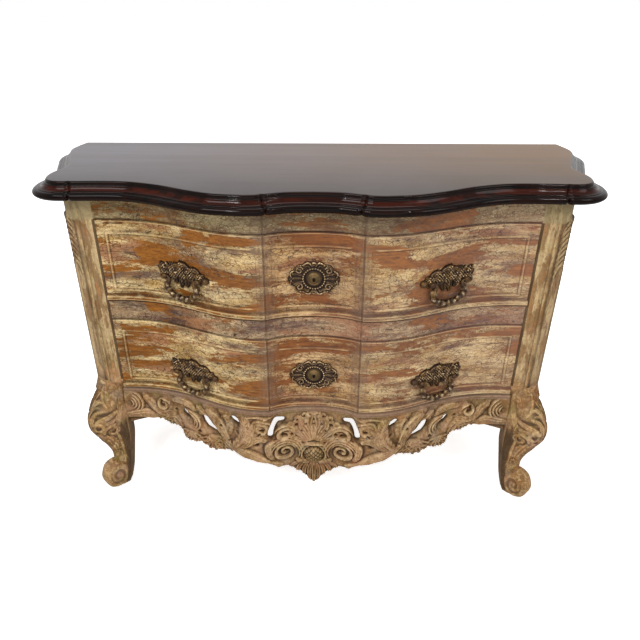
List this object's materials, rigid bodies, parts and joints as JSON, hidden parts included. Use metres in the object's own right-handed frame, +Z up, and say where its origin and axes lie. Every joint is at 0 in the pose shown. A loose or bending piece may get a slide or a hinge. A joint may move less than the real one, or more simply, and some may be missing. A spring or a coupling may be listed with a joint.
{
  "type": "commode chest of drawers",
  "caption": "Serpentine commode with wide drawers, bail pulls and key locks, in a carved and painted case on cabriole legs with a pierced apron and a moulded top.",
  "frame": {"origin": "on the floor, under the middle of the moulded top", "axes": "+X to the viewer's right along the front, +Y to the back, +Z up"},
  "size_m": [1.4944, 0.5444, 0.948],
  "materials": {
    "mahogany_top": "gloss varnish",
    "painted_wood": "worn and crackled paint",
    "carved_wood": "waxed, worn paint",
    "bare_wood": "unfinished",
    "antique_bronze": "dark patina",
    "steel": "dull"
  },
  "bodies": {
    "case": {"top_board": "mahogany_top", "frieze_rail": "painted_wood", "middle_rail": "painted_wood", "carved_apron": "carved_wood", "lower_rail": "bare_wood", "front_post_right": "carved_wood", "front_post_left": "carved_wood", "rear_post_right": "painted_wood", "rear_post_left": "painted_wood", "side_panel_right": "painted_wood", "side_panel_left": "painted_wood", "side_top_rail_right": "painted_wood", "side_top_rail_left": "painted_wood", "side_bottom_rail_right": "painted_wood", "side_bottom_rail_left": "painted_wood", "back_top_rail": "bare_wood", "back_middle_rail": "bare_wood", "back_bottom_rail": "bare_wood", "back_panel": "bare_wood", "upper_runner_right": "bare_wood", "upper_runner_left": "bare_wood", "lower_runner_right": "bare_wood", "lower_runner_left": "bare_wood", "kicker_right": "bare_wood", "kicker_left": "bare_wood", "dust_board": "bare_wood", "bottom_board": "bare_wood"},
    "upper_drawer": {"upper_drawer_front": "painted_wood", "upper_drawer_side_right": "bare_wood", "upper_drawer_side_left": "bare_wood", "upper_drawer_bottom": "bare_wood", "upper_drawer_back": "bare_wood", "upper_escutcheon": "antique_bronze", "upper_lock_case": "steel", "upper_pull_plate_left": "antique_bronze", "upper_pull_screw_left_outer": "steel", "upper_pull_screw_left_inner": "steel", "upper_pull_plate_right": "antique_bronze", "upper_pull_screw_right_inner": "steel", "upper_pull_screw_right_outer": "steel"},
    "lower_drawer": {"lower_drawer_front": "painted_wood", "lower_drawer_side_right": "bare_wood", "lower_drawer_side_left": "bare_wood", "lower_drawer_bottom": "bare_wood", "lower_drawer_back": "bare_wood", "lower_escutcheon": "antique_bronze", "lower_lock_case": "steel", "lower_pull_plate_left": "antique_bronze", "lower_pull_screw_left_outer": "steel", "lower_pull_screw_left_inner": "steel", "lower_pull_plate_right": "antique_bronze", "lower_pull_screw_right_inner": "steel", "lower_pull_screw_right_outer": "steel"},
    "upper_lock_bolt": {"upper_lock_bolt": "steel"},
    "upper_bail_left": {"upper_bail_left": "antique_bronze"},
    "upper_bail_right": {"upper_bail_right": "antique_bronze"},
    "lower_lock_bolt": {"lower_lock_bolt": "steel"},
    "lower_bail_left": {"lower_bail_left": "antique_bronze"},
    "lower_bail_right": {"lower_bail_right": "antique_bronze"}
  },
  "joints": [
    {"name": "upper_drawer_slide", "type": "slide", "parent": "case", "child": "upper_drawer", "axis": [0, -1, 0], "range_m": [0, 0.25]},
    {"name": "upper_lock_bolt_slide", "type": "slide", "parent": "upper_drawer", "child": "upper_lock_bolt", "axis": [0, 0, 1], "range_m": [0, 0.009]},
    {"name": "upper_bail_left_hinge", "type": "hinge", "parent": "upper_drawer", "child": "upper_bail_left", "pos_m": [-0.33768, -0.1706, 0.70718], "axis": [-0.9155, 0.4023, 0], "range_deg": [0, 85]},
    {"name": "upper_bail_right_hinge", "type": "hinge", "parent": "upper_drawer", "child": "upper_bail_right", "pos_m": [0.33768, -0.1706, 0.70718], "axis": [-0.9155, -0.4023, 0], "range_deg": [0, 85]},
    {"name": "lower_drawer_slide", "type": "slide", "parent": "case", "child": "lower_drawer", "axis": [0, -1, 0], "range_m": [0, 0.25]},
    {"name": "lower_lock_bolt_slide", "type": "slide", "parent": "lower_drawer", "child": "lower_lock_bolt", "axis": [0, 0, 1], "range_m": [0, 0.009]},
    {"name": "lower_bail_left_hinge", "type": "hinge", "parent": "lower_drawer", "child": "lower_bail_left", "pos_m": [-0.33768, -0.1706, 0.41336], "axis": [-0.9155, 0.4023, 0], "range_deg": [0, 85]},
    {"name": "lower_bail_right_hinge", "type": "hinge", "parent": "lower_drawer", "child": "lower_bail_right", "pos_m": [0.33768, -0.1706, 0.41336], "axis": [-0.9155, -0.4023, 0], "range_deg": [0, 85]}
  ]
}
